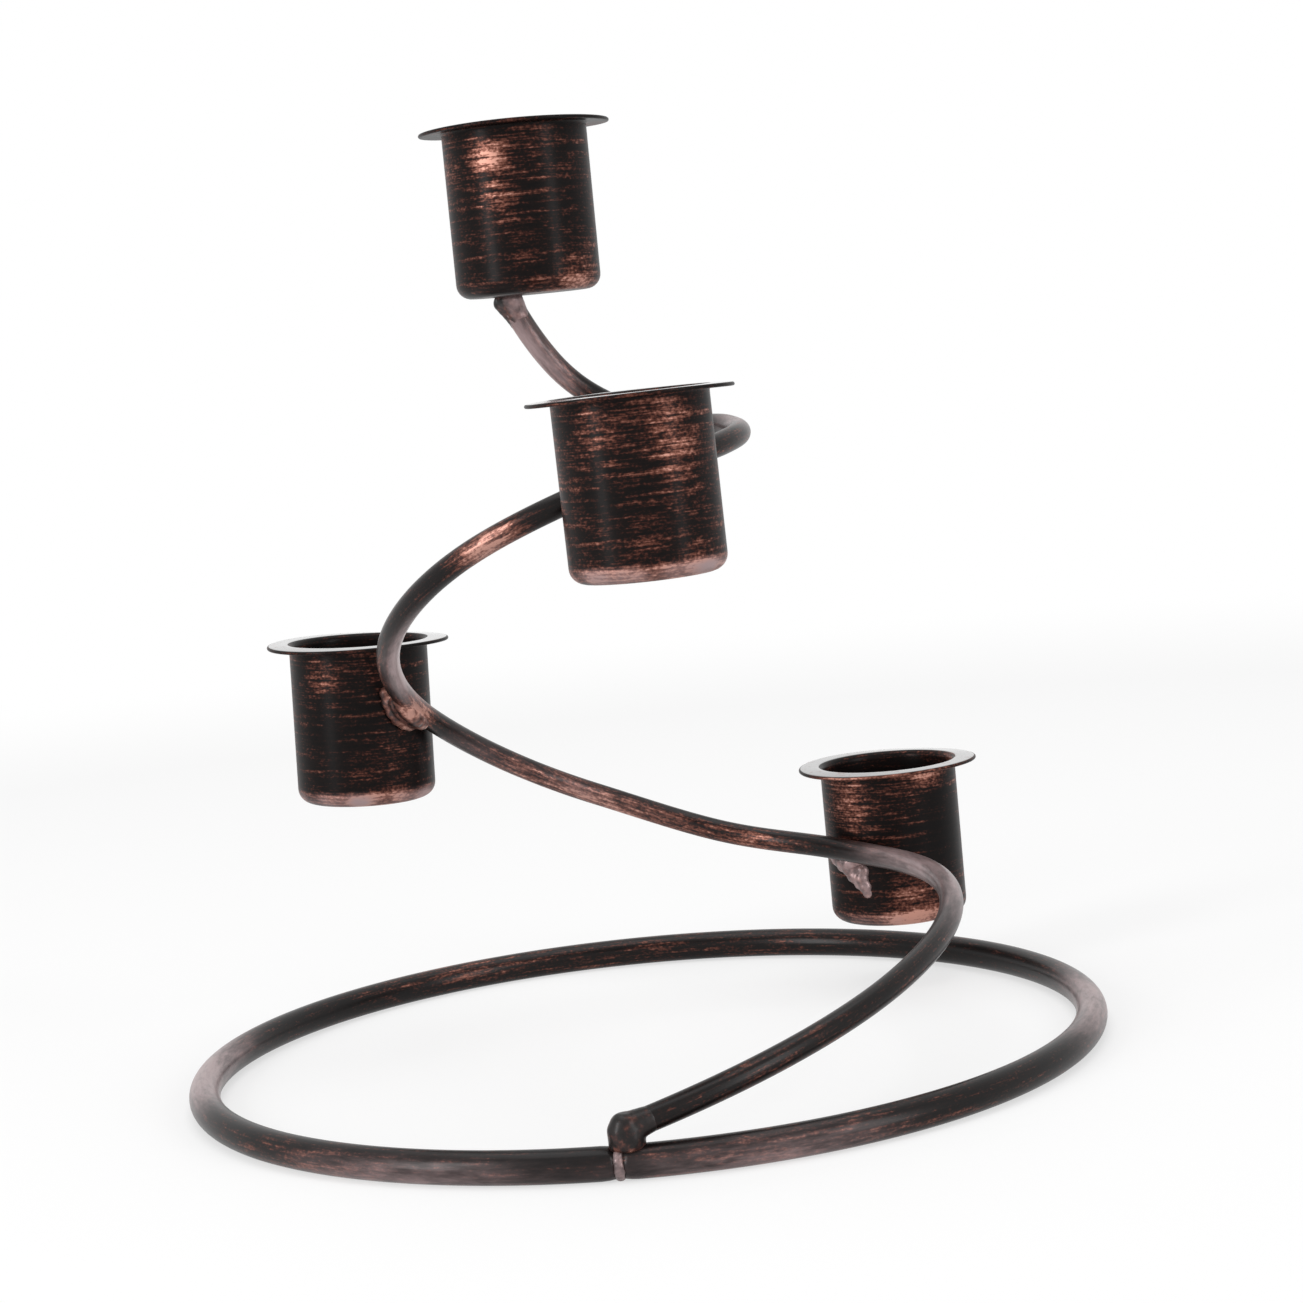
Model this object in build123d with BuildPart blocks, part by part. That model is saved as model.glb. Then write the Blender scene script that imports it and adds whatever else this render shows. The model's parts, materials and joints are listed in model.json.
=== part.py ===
"""Spiral candle holder: a wire base ring, a rising spiral rod and four drawn candle cups, all tack welded.

Millimetres, +Z up. The origin is the middle of the base ring, on the surface that the ring stands on.
The rod starts at the front of the ring (-Y), climbs counter-clockwise seen from above and ends under the
top cup.
"""

import math
import os

from build123d import *

# Base ring
ring_outer_diameter = 150.0
ring_wire_diameter = 5.0
ring_flat_depth = 0.15  # the underside is dressed level, so that the ring stands without rocking
ring_seam_gap = 0.8
ring_seam_offset = 1.3  # from the rod's foot, along the ring to the left
ring_seam_groove = 0.15  # the closing weld stays this far below the skin of the wire

# Spiral rod, through stations from the foot at the front to the underside of the top cup. The turn is
# counted from the foot, the radius is of the ring's and the height is of the rod's whole rise.
rod_diameter = 3.8
overall_height = 153.0
foot_angle = -90.0
rod_turn_degrees = (0, 44, 88, 131, 160, 190, 237, 284, 328, 370, 420, 468, 520, 558, 577)
rod_radius_shares = (
    (1.00, 0.805, 0.70, 0.635, 0.61, 0.59, 0.54, 0.48)
    + (0.43, 0.38, 0.345, 0.325, 0.305, 0.287, 0.28)
)
rod_height_shares = (
    (0.00, 0.092, 0.144, 0.157, 0.181, 0.256, 0.412, 0.562)
    + (0.678, 0.746, 0.778, 0.793, 0.816, 0.907, 1.00)
)
rod_end_round = 0.6

# Candle cups, drawn from sheet
cup_bore_diameter = 22.5
cup_wall = 0.6
cup_height = 27.5
cup_flange_diameter = 31.2
cup_floor_radius = 2.4
cup_mouth_radius = 0.5
cup_stations = (3, 6, 9)  # the rod's stations that carry the three lower cups
cup_grip_shares = (0.52, 0.51, 0.51)  # height of the rod on each of those cups
cup_lean_degrees = (0.0, 2.4, -1.0)  # lean of each of those cups to the right, seen from the front
top_cup_offset = 7.0  # from the rod's end in towards the middle of the ring

# Welds
weld_gap = 0.2  # the cups are held this far from the rod, and the weld fills it
tack_length = 7.5
tack_width = 4.8
tack_drop = 1.5  # the tack sags below the middle of the rod
tack_shift_shares = (0.0, 0.6, 0.0)  # how far on along the rod each tack lies, of its length
foot_weld_radius = 2.7
foot_weld_crown = 0.35
foot_weld_gap = 0.4  # the rod's foot stands this far above the ring, on its weld
weld_round_share = 0.8  # rounding of a weld's ends, of its radius
top_weld_radius = 2.9
top_weld_depth = 2.6

cut_overrun = 4.0

# Sizes that follow
ring_wire_radius = ring_wire_diameter / 2
ring_radius = ring_outer_diameter / 2 - ring_wire_radius
ring_middle_height = ring_wire_radius - ring_flat_depth
ring_seam_turn = math.degrees(ring_seam_gap / ring_radius)
ring_seam_angle = foot_angle - math.degrees(ring_seam_offset / ring_radius)
rod_radius = rod_diameter / 2
cup_bore_radius = cup_bore_diameter / 2
cup_radius = cup_bore_radius + cup_wall
cup_flange_radius = cup_flange_diameter / 2
foot_height = ring_middle_height + ring_wire_radius + foot_weld_gap + rod_radius
top_cup_floor = overall_height - cup_height
rod_rise = top_cup_floor - foot_height

upwards = (Align.CENTER, Align.CENTER, Align.MIN)
downwards = (Align.CENTER, Align.CENTER, Align.MAX)


def upright_plane(turn):
    """The upright plane through the ring's axis whose x points out at this turn."""
    angle = math.radians(turn)
    outward = (math.cos(angle), math.sin(angle), 0)
    return Plane(origin=(0, 0, 0), x_dir=outward, z_dir=(outward[1], -outward[0], 0))


def slope_at(station, turns, values):
    """Slope, per radian, of the parabola through a station and its two neighbours."""
    middle = min(max(station, 1), len(turns) - 2)
    before, here, after = (math.radians(turn) for turn in turns[middle - 1 : middle + 2])
    rise_before = (values[middle] - values[middle - 1]) / (here - before)
    rise_after = (values[middle + 1] - values[middle]) / (after - here)
    bend = (rise_after - rise_before) / (after - before)
    place = math.radians(turns[station])
    return rise_before + bend * (2 * place - before - here)


def rod_station(station):
    """Place of the rod's middle line at a station, and the direction in which it climbs there."""
    turn = math.radians(foot_angle + rod_turn_degrees[station])
    radius = ring_radius * rod_radius_shares[station]
    radius_slope = ring_radius * slope_at(station, rod_turn_degrees, rod_radius_shares)
    height_slope = rod_rise * slope_at(station, rod_turn_degrees, rod_height_shares)
    outward = Vector(math.cos(turn), math.sin(turn), 0)
    around = Vector(-math.sin(turn), math.cos(turn), 0)
    place = outward * radius + Vector(0, 0, foot_height + rod_rise * rod_height_shares[station])
    climb = outward * radius_slope + around * radius + Vector(0, 0, height_slope)
    return place, climb.normalized()


def biarc(start, start_direction, end, end_direction):
    """Draw two arcs, tangent to each other and to the directions given, from start to end."""
    span = end - start
    both = start_direction + end_direction
    square = 4 - both.dot(both)
    reach = (math.sqrt(span.dot(both) ** 2 + square * span.dot(span)) - span.dot(both)) / square
    leave = start + start_direction * reach
    arrive = end - end_direction * reach
    joint = (leave + arrive) * 0.5
    TangentArc(start, joint, tangent=start_direction)
    TangentArc(joint, end, tangent=(arrive - leave))


stations = [rod_station(station) for station in range(len(rod_turn_degrees))]
foot, foot_direction = stations[0]
rod_end, rod_end_direction = stations[-1]

# Base ring: one bend of wire with a narrow gap beside the foot, level underneath
with BuildPart() as base_ring:
    with BuildSketch(upright_plane(ring_seam_angle + ring_seam_turn / 2)):
        with Locations((ring_radius, ring_middle_height)):
            Circle(ring_wire_radius)
    revolve(axis=Axis.Z, revolution_arc=360 - ring_seam_turn)
    split(bisect_by=Plane.XY, keep=Keep.TOP)

# Weld that fills the gap in the ring, a little below the skin of the wire
with BuildPart() as ring_seam_weld:
    with BuildSketch(upright_plane(ring_seam_angle - ring_seam_turn / 2)):
        with Locations((ring_radius, ring_middle_height)):
            Circle(ring_wire_radius - ring_seam_groove)
    revolve(axis=Axis.Z, revolution_arc=ring_seam_turn)
    split(bisect_by=Plane.XY, keep=Keep.TOP)

# Spiral rod, straight at its foot and cut level where it meets the top cup
rod_start = foot - foot_direction * (rod_radius / 2)
first_bend = foot + foot_direction * (rod_radius / 2)
bends = [(first_bend, foot_direction)] + stations[1:]
with BuildPart() as spiral_rod:
    with BuildLine() as rod_path:
        Line(rod_start, first_bend)
        for (start, start_direction), (end, end_direction) in zip(bends, bends[1:]):
            biarc(start, start_direction, end, end_direction)
        Line(rod_end, rod_end + rod_end_direction * cut_overrun)
    with BuildSketch(Plane(origin=rod_start, z_dir=foot_direction)):
        Circle(rod_radius)
    sweep(path=rod_path.wire())
    split(bisect_by=Plane.XY.offset(top_cup_floor), keep=Keep.BOTTOM)
    foot_face = spiral_rod.faces().filter_by(GeomType.PLANE).sort_by_distance(rod_start)[0]
    fillet(foot_face.edges(), rod_end_round)

# Knob of weld round the rod's foot: an upright pin with a round top, seated on the ring
knob_base = ring_middle_height + ring_wire_radius / 2
knob_top = foot_height + rod_radius + foot_weld_crown
with BuildPart() as foot_weld:
    with Locations((foot.X, foot.Y, knob_base)):
        Cylinder(foot_weld_radius, knob_top - knob_base, align=upwards)
    fillet(foot_weld.edges().group_by(Axis.Z)[-1], foot_weld_radius * weld_round_share)
    add(base_ring.part, mode=Mode.SUBTRACT)
    add(ring_seam_weld.part, mode=Mode.SUBTRACT)
    add(spiral_rod.part, mode=Mode.SUBTRACT)

# The underside of each cup, lowest cup first: a plane on the cup's axis, which is the plane's z
cup_seats = []
for station, grip_share, lean_degrees in zip(cup_stations, cup_grip_shares, cup_lean_degrees):
    touch, climb = stations[station]
    lean = math.radians(lean_degrees)
    cup_axis = Vector(math.sin(lean), 0, math.cos(lean))
    away = climb.cross(cup_axis).normalized()
    axis_place = touch + away * (rod_radius + weld_gap + cup_radius)
    underside = axis_place - cup_axis * (cup_height * grip_share)
    cup_seats.append(Plane(origin=underside, x_dir=(math.cos(lean), 0, -math.sin(lean)), z_dir=cup_axis))
inward = Vector(-rod_end.X, -rod_end.Y, 0).normalized()
top_axis = rod_end + inward * top_cup_offset
top_underside = (top_axis.X, top_axis.Y, top_cup_floor)
cup_seats.append(Plane(origin=top_underside, x_dir=(1, 0, 0), z_dir=(0, 0, 1)))

# Candle cups: a drawn wall, a flat floor with a rounded corner and a flange turned outwards
cups = []
for seat in cup_seats:
    with BuildPart() as candle_cup:
        with BuildSketch(Plane(origin=seat.origin, x_dir=seat.x_dir, z_dir=-seat.y_dir)):
            with BuildLine():
                Polyline(
                    (0, 0),
                    (cup_radius, 0),
                    (cup_radius, cup_height - cup_wall),
                    (cup_flange_radius, cup_height - cup_wall),
                    (cup_flange_radius, cup_height),
                    (cup_bore_radius, cup_height),
                    (cup_bore_radius, cup_wall),
                    (0, cup_wall),
                    close=True,
                )
            profile = make_face()
            corners = profile.vertices().group_by(Axis.Y)
            outer_floor_corner = corners[0].sort_by(Axis.X)[-1]
            inner_floor_corner = corners[1].sort_by(Axis.X)[-1]
            under_flange_corner = corners[2].sort_by(Axis.X)[0]
            mouth_corner = corners[3].sort_by(Axis.X)[0]
            fillet(outer_floor_corner, cup_floor_radius)
            fillet(inner_floor_corner, cup_floor_radius - cup_wall)
            fillet(under_flange_corner, cup_mouth_radius)
            fillet(mouth_corner, cup_mouth_radius + cup_wall)
        revolve(axis=Axis(seat.origin, seat.z_dir))
    cups.append(candle_cup)

# Tack welds of the three lower cups: a round-ended lump along the rod, cut to fit the cup and the rod
cup_welds = []
for station, seat, shift_share in zip(cup_stations, cup_seats, tack_shift_shares):
    touch, climb = stations[station]
    away = climb.cross(seat.z_dir).normalized()
    held = touch + climb * (tack_length * shift_share)
    tack_middle = held + away * (rod_radius + weld_gap / 2) - Vector(0, 0, tack_drop)
    with BuildPart() as cup_weld:
        with BuildSketch(Plane(origin=tack_middle, z_dir=climb)):
            Circle(tack_width / 2)
        extrude(amount=tack_length / 2, both=True)
        fillet(cup_weld.edges().filter_by(GeomType.CIRCLE), tack_width / 2 * weld_round_share)
        with Locations(seat):
            Cylinder(cup_radius, cup_height, align=upwards, mode=Mode.SUBTRACT)
        add(spiral_rod.part, mode=Mode.SUBTRACT)
    cup_welds.append(cup_weld)

# Weld under the top cup: a collar round the rod's end
with BuildPart() as top_weld:
    with Locations(rod_end):
        Cylinder(top_weld_radius, top_weld_depth, align=downwards)
    fillet(top_weld.edges().group_by(Axis.Z)[0], min(top_weld_radius, top_weld_depth) * weld_round_share)
    add(spiral_rod.part, mode=Mode.SUBTRACT)
cup_welds.append(top_weld)

# One file for each piece
pieces = {
    "base_ring": base_ring,
    "ring_seam_weld": ring_seam_weld,
    "spiral_rod": spiral_rod,
    "foot_weld": foot_weld,
}
for number, (cup, weld) in enumerate(zip(cups, cup_welds), start=1):
    pieces[f"candle_cup_{number}"] = cup
    pieces[f"cup_weld_{number}"] = weld

os.makedirs("parts", exist_ok=True)
for name, piece in pieces.items():
    piece.part.label = name
    export_step(piece.part, f"parts/{name}.step")

rod_length = rod_path.wire().length
print(f"rod {rod_length:.0f} mm long, section times length {math.pi * rod_radius**2 * rod_length:.0f} mm3, "
      f"volume {spiral_rod.part.volume:.0f} mm3")
for number, seat in enumerate(cup_seats, start=1):
    x, y, z = seat.origin
    print(f"candle_cup_{number} underside at {x:.3f}, {y:.3f}, {z:.3f}, "
          f"axis {seat.z_dir.X:.6f}, {seat.z_dir.Y:.6f}, {seat.z_dir.Z:.6f}")
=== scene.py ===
# %% [markdown]
# Spiral candle holder. A welder bends a ring and a spiral from round wire, tacks four drawn cups to the
# spiral, lacquers the whole thing black and drags an almost dry brush of copper paint over it. This
# lesson dresses the measured model with that finish. The model is only a frame here: it says where each
# piece is and how large, and every visible surface is modelled again with enough points to carry fine
# detail.

# %% Load the frame
import json
import math
import random

import bmesh
import bpy
from mathutils import Matrix, Vector


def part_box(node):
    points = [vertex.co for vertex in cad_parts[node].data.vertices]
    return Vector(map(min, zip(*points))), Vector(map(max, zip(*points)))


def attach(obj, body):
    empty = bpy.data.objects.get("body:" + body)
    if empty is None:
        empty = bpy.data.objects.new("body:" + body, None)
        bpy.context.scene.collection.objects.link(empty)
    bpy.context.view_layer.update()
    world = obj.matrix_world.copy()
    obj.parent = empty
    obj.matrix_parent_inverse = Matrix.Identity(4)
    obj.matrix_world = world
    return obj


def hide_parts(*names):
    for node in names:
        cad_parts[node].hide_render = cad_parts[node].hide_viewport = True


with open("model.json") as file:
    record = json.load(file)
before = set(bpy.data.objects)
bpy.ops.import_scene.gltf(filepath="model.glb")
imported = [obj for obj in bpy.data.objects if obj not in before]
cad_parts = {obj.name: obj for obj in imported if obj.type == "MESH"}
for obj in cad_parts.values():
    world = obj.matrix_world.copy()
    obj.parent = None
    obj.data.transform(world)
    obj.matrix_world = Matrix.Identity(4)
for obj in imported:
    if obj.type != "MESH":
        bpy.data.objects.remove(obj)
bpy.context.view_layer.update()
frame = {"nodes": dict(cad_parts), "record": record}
scene = bpy.context.scene
mm = 0.001
UP = Vector((0, 0, 1))
print("frame nodes:", ", ".join(sorted(frame["nodes"])))

# %% [markdown]
# Where things are. The boxes of the frame's nodes give the ring's outer size and the cups' height, and
# its record gives the middle and the axis of each candle socket, because two of the cups lean a little.
# What neither can show, such as the thickness of a wire or of the sheet, is named here.

# %% Sizes
ring_wire_radius = 2.5 * mm
rod_wire_radius = 1.9 * mm
sheet = 0.6 * mm
bore_radius = 11.25 * mm
cup_radius = bore_radius + sheet
foot_gap = 0.4 * mm
cup_count = 4

ring_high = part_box("base_ring")[1]
ring_radius = ring_high.x - ring_wire_radius
ring_height = ring_high.z - ring_wire_radius
foot_height = ring_high.z + foot_gap + rod_wire_radius

low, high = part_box("candle_cup_4")
cup_height = high.z - low.z
flange_radius = (high.x - low.x) / 2
top_floor = low.z

sockets = {mount["name"]: mount for mount in frame["record"]["mounts"]}
cup_stands = []
for number in range(1, cup_count + 1):
    socket = sockets[f"candle_socket_{number}"]
    axis = Vector(socket["axis"])
    underside = Vector(socket["pos_m"]) - axis * (cup_height + sheet) / 2
    cup_stands.append(Matrix.Translation(underside) @ UP.rotation_difference(axis).to_matrix().to_4x4())
print(f"ring radius {ring_radius / mm:.1f} mm, cups {cup_height / mm:.1f} mm tall")
print(f"floor of the top cup {top_floor / mm:.1f} mm up")

# %% [markdown]
# The camera comes early, because the copper on the cups is listed further down by the side that faces it.
# It stands half a metre off, at about three quarters of the holder's height, and leans a few degrees as
# in the picture. A long lens brings the holder closer, until it fills the frame. A Track To constraint
# could aim the camera, but it can't lean, so the camera's three axes are worked out here.

# %% Camera
viewer = Vector((28.5, -479.5, 116.1)) * mm
heading = math.radians(-2.6)
dip = math.radians(5.94)
lean = math.radians(-5.49)
picture_side = 1303
picture_focal = 783.7
closer = 3.8
film_width = 36
nearest = 10 * mm

ahead = Vector((math.sin(heading) * math.cos(dip), math.cos(heading) * math.cos(dip), -math.sin(dip)))
right = Vector((math.cos(heading), -math.sin(heading), 0))
over = right.cross(ahead)
leaning_right = right * math.cos(lean) + over * math.sin(lean)
leaning_over = over * math.cos(lean) - right * math.sin(lean)

lens = bpy.data.cameras.new("camera")
lens.sensor_width = film_width
lens.lens = film_width * picture_focal * closer / picture_side
lens.clip_start = nearest
camera = bpy.data.objects.new("camera", lens)
axes = Matrix((leaning_right, leaning_over, -ahead)).transposed().to_4x4()
camera.matrix_world = Matrix.Translation(viewer) @ axes
scene.collection.objects.link(camera)
scene.camera = camera
scene.view_settings.view_transform = "Standard"
print(f"lens {lens.lens:.1f} mm")

# %% [markdown]
# The spiral. A box can't give the way of a bent rod, so its stations are written here: how far it has
# turned from its foot, how far out it is as a share of the ring's radius, and how much of its rise is
# behind it. A Bezier curve could pass through them, but later steps need the rod's place at any turn, so
# a cubic piece between each two stations gives that.

# %% Stations of the spiral
front = math.radians(-90)
rod_turns = (0, 44, 88, 131, 160, 190, 237, 284, 328, 370, 420, 468, 520, 558, 577)
rod_radius_shares = (
    (1.00, 0.805, 0.70, 0.635, 0.61, 0.59, 0.54, 0.48)
    + (0.43, 0.38, 0.345, 0.325, 0.305, 0.287, 0.28)
)
rod_height_shares = (
    (0.00, 0.092, 0.144, 0.157, 0.181, 0.256, 0.412, 0.562)
    + (0.678, 0.746, 0.778, 0.793, 0.816, 0.907, 1.00)
)


def slope_at(station, values):
    """Slope, per degree of turn, of the parabola through a station and its two neighbours."""
    middle = min(max(station, 1), len(values) - 2)
    before, here, after = rod_turns[middle - 1 : middle + 2]
    rise_before = (values[middle] - values[middle - 1]) / (here - before)
    rise_after = (values[middle + 1] - values[middle]) / (after - here)
    bend = (rise_after - rise_before) / (after - before)
    return rise_before + bend * (2 * rod_turns[station] - before - here)


def along_stations(values, turn):
    """A smooth line through the stations' values, read at this turn."""
    station = max(n for n in range(len(rod_turns) - 1) if rod_turns[n] <= max(turn, 0))
    span = rod_turns[station + 1] - rod_turns[station]
    t = (turn - rod_turns[station]) / span
    start, end = values[station], values[station + 1]
    leave, arrive = span * slope_at(station, values), span * slope_at(station + 1, values)
    return (
        start * (1 + 2 * t) * (1 - t) ** 2
        + leave * t * (1 - t) ** 2
        + end * t * t * (3 - 2 * t)
        + arrive * t * t * (t - 1)
    )


print(f"{len(rod_turns)} stations over {rod_turns[-1] / 360:.2f} turns")

# %% The spiral's middle line
turn_step = 0.5


def rod_middle(turn):
    """The place of the rod's middle line after this many degrees of turn."""
    angle = front + math.radians(turn)
    out = ring_radius * along_stations(rod_radius_shares, turn)
    height = foot_height + (top_floor - foot_height) * along_stations(rod_height_shares, turn)
    return Vector((out * math.cos(angle), out * math.sin(angle), height))


def rod_ahead(turn):
    """The way the rod runs at this turn, from its places a small step before and after."""
    return (rod_middle(turn + turn_step) - rod_middle(turn - turn_step)).normalized()


for turn in (rod_turns[0], rod_turns[-1]):
    print(f"rod at {turn} degrees:", [round(x / mm, 1) for x in rod_middle(turn)])

# %% [markdown]
# Each mesh carries three things for the paint to read. "brush" holds a point's place in millimetres as
# the brush meets it: along the wire and round it, or across and up a cup. "copper" says how much paint
# the brush left there, from 0 to about 1, and the third amount how much pale pink-grey lies on the
# lacquer beside the strokes: a little copper powder, and mostly painted sheen, where the studio's light
# would glance off turns and edges. Textures could be laid out with a UV map, but a map needs seams, and
# these values need none.

# %% A piece with its paint values


def set_paint(mesh, brush, copper, dust_and_sheen):
    """Store the brush's coordinates and the two amounts on the points of a mesh."""
    layer = mesh.attributes.new("brush", "FLOAT_VECTOR", "POINT")
    layer.data.foreach_set("vector", [x for place in brush for x in place])
    for name, amounts in (("copper", copper), ("dust_and_sheen", dust_and_sheen)):
        layer = mesh.attributes.new(name, "FLOAT", "POINT")
        layer.data.foreach_set("value", amounts)


def make_piece(name, points, faces, brush, copper, dust_and_sheen):
    """A smooth-shaded object from points and faces, with its paint values."""
    mesh = bpy.data.meshes.new(name)
    mesh.from_pydata(points, [], faces)
    mesh.shade_smooth()
    set_paint(mesh, brush, copper, dust_and_sheen)
    piece = bpy.data.objects.new(name, mesh)
    scene.collection.objects.link(piece)
    print(f"{name}: {len(points)} points, {len(faces)} faces")
    return piece


def dress(piece, node, material):
    """Let a piece stand for its node of the frame and take its finish."""
    piece.data.materials.append(material)
    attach(piece, "root")
    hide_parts(node)


# %% [markdown]
# The finish. Semi-gloss black lacquer lies under streaks of copper paint. A dry brush touches only the
# high spots of its path, so its mark is a noise stretched along the stroke. Where the mark is faint the
# paint is a brown glaze, where it is strong it is pink and bright, and a colour ramp gives every step
# between. Sums on sockets are written as plain expressions, through one small class.

# %% A socket that does sums


class Paint:
    """A socket in a material's nodes. Operators add Math nodes, and node() adds any other node."""

    def __init__(self, tree, socket=None):
        self.tree = tree
        self.socket = socket

    def node(self, kind, settings=None, sockets=None, output=0):
        """Add a node: first its settings, a ramp's stops among them, then its sockets' values or links."""
        made = self.tree.nodes.new(kind)
        for name, value in (settings or {}).items():
            if name == "stops":
                elements = made.color_ramp.elements
                for n, (level, colour) in enumerate(value):
                    stop = elements[n] if n < len(elements) else elements.new(level)
                    stop.position, stop.color = level, colour
            else:
                setattr(made, name, value)
        for name, value in (sockets or {}).items():
            if isinstance(value, Paint):
                self.tree.links.new(value.socket, made.inputs[name])
            else:
                made.inputs[name].default_value = value
        return Paint(self.tree, made.outputs[output] if made.outputs else None)

    def maths(self, operation, first, second):
        return self.node("ShaderNodeMath", {"operation": operation}, {0: first, 1: second})

    def __add__(self, other):
        return self.maths("ADD", self, other)

    def __radd__(self, other):
        return self.maths("ADD", other, self)

    def __sub__(self, other):
        return self.maths("SUBTRACT", self, other)

    def __rsub__(self, other):
        return self.maths("SUBTRACT", other, self)

    def __mul__(self, other):
        return self.maths("MULTIPLY", self, other)

    def __rmul__(self, other):
        return self.maths("MULTIPLY", other, self)

    def larger(self, other):
        return self.maths("MAXIMUM", self, other)

    def step(self, low, high):
        """A smooth step from 0 at low to 1 at high."""
        ends = {"Value": self, "From Min": low, "From Max": high}
        return self.node("ShaderNodeMapRange", {"interpolation_type": "SMOOTHSTEP"}, ends)

    def noise(self, scales, detail, roughness):
        """Noise read at this vector times three scales, with a grain of about one unit."""
        place = self.node("ShaderNodeVectorMath", {"operation": "MULTIPLY"}, {0: self, 1: scales})
        values = {"Vector": place, "Scale": 1.0, "Detail": detail, "Roughness": roughness}
        return self.node("ShaderNodeTexNoise", {}, values)

    def blend(self, amount, colour):
        """This colour mixed towards another by an amount, on the Mix node's sockets for colours."""
        return self.node("ShaderNodeMix", {"data_type": "RGBA"}, {0: amount, 6: self, 7: colour}, output=2)


# %% Colours of the finish
copper_stops = (
    (0.00, (0.0046, 0.0037, 0.0038, 1)),
    (0.34, (0.0080, 0.0048, 0.0044, 1)),
    (0.50, (0.036, 0.0120, 0.0090, 1)),
    (0.66, (0.110, 0.040, 0.028, 1)),
    (0.84, (0.240, 0.103, 0.076, 1)),
    (1.00, (0.52, 0.265, 0.205, 1)),
)
# The pale pink-grey over the lacquer: copper powder, and painted sheen.
dust_and_sheen_colour = (0.36, 0.265, 0.265, 1)
print(f"{len(copper_stops)} steps from lacquer to bright copper")

# %% [markdown]
# How much paint shows at a point is one number, its level. The amount that the brush left there sets it,
# large patches sway it, and lines, dashes and specks of noise break it up. From a certain level on the
# paint covers the lacquer: there the surface turns metallic and rougher, and the lacquer's gloss goes.

# %% The brushed copper finish
noise_middle = 0.5
line_detail, dash_detail, speck_detail, patch_detail = (3, 0.6), (4, 0.6), (2, 0.5), (3, 0.55)
line_share, dash_share, speck_share = 0.36, 0.36, 0.28
bare_level, paint_gain, drag_gain = 0.12, 0.62, 3.2
patch_sway = 0.9
covered_from, covered_full = 0.50, 0.82
haze_mean, haze_dashes, haze_full = 0.60, 0.7, 0.9
patch_roughness, copper_roughness = 0.12, 0.10
copper_metal, dust_and_sheen_metal = 0.7, 0.8
gloss_lost = 0.7
stroke_relief = 0.06 * mm
stroke_height, film_height = 0.7, 0.3


def brushed_finish(name, lines, dashes, grain, patches, roughness, shine, coat, coat_roughness, relief):
    """Black lacquer under dry-brushed copper. The noises' scales are per millimetre, by brush axis."""
    material = bpy.data.materials.new(name)
    material.use_nodes = True
    tree = material.node_tree
    tree.nodes.clear()
    paint = Paint(tree)

    place = paint.node("ShaderNodeAttribute", {"attribute_name": "brush"}, output="Vector")
    amount = paint.node("ShaderNodeAttribute", {"attribute_name": "copper"}, output="Fac")
    dust_and_sheen = paint.node("ShaderNodeAttribute", {"attribute_name": "dust_and_sheen"}, output="Fac")
    line = place.noise(lines, *line_detail)
    dash = place.noise(dashes, *dash_detail)
    speck = place.noise(grain, *speck_detail)
    patch = place.noise(patches, *patch_detail)

    sway = (patch - noise_middle) * patch_sway
    drag = line * line_share + dash * dash_share + speck * speck_share
    level = bare_level + (amount + sway) * paint_gain + (drag - noise_middle) * drag_gain
    cover = level.step(covered_from, covered_full)
    # The pale pink-grey over the lacquer is a little copper powder, and mostly painted sheen.
    haze = dust_and_sheen * (haze_mean + (dash - noise_middle) * haze_dashes + sway)

    colour = level.node("ShaderNodeValToRGB", {"stops": copper_stops}, {"Fac": level})
    colour = colour.blend(haze.step(0.0, haze_full), dust_and_sheen_colour)
    height = drag * stroke_height + cover * film_height
    bump = {"Strength": relief, "Distance": stroke_relief, "Height": height}

    surface = {
        "Base Color": colour,
        "Roughness": roughness + (patch - noise_middle) * patch_roughness + cover * copper_roughness,
        "Metallic": (cover * copper_metal).larger(haze * dust_and_sheen_metal),
        "Normal": paint.node("ShaderNodeBump", {}, bump),
        "Specular IOR Level": shine,
        "Coat Weight": coat * (1 - gloss_lost * cover),
        "Coat Roughness": coat_roughness,
    }
    shader = paint.node("ShaderNodeBsdfPrincipled", {}, surface)
    paint.node("ShaderNodeOutputMaterial", {}, {"Surface": shader})
    print(f"{name}: {len(tree.nodes)} nodes")
    return material


# %% Finishes of the wires, cups, flanges and welds
wire_finish = brushed_finish(
    "brushed_wire",
    lines=(0.06, 2.2, 2.2),
    dashes=(0.32, 1.5, 1.5),
    grain=(1.6, 2.6, 2.6),
    patches=(0.10, 0.45, 0.45),
    roughness=0.32,
    shine=0.10,
    coat=0.17,
    coat_roughness=0.22,
    relief=0.5,
)
cup_finish = brushed_finish(
    "brushed_cup",
    lines=(0.06, 0.06, 2.5),
    dashes=(0.30, 0.30, 1.5),
    grain=(1.7, 1.7, 2.6),
    patches=(0.15, 0.15, 0.28),
    roughness=0.36,
    shine=0.05,
    coat=0.05,
    coat_roughness=0.22,
    relief=0.5,
)
flange_finish = brushed_finish(
    "smooth_flange",
    lines=(0.3, 0.3, 0.3),
    dashes=(0.6, 0.6, 0.6),
    grain=(1.2, 1.2, 1.2),
    patches=(0.2, 0.2, 0.2),
    roughness=0.20,
    shine=0.4,
    coat=1.0,
    coat_roughness=0.10,
    relief=0.2,
)
weld_finish = brushed_finish(
    "rubbed_weld",
    lines=(0.2, 0.2, 0.2),
    dashes=(0.7, 0.7, 0.7),
    grain=(1.0, 1.0, 1.0),
    patches=(0.35, 0.35, 0.35),
    roughness=0.32,
    shine=0.15,
    coat=0.25,
    coat_roughness=0.40,
    relief=0.1,
)

# %% [markdown]
# Round wire. A curve with a bevel would give a tube too, but the paint needs to know how far along the
# wire a point lies and on which side, so the rings of points are laid one by one. Side 0 faces out from
# the middle of the holder, and a quarter turn on from it is the top.

# %% Tube round a line
wire_sides = 36


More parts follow.
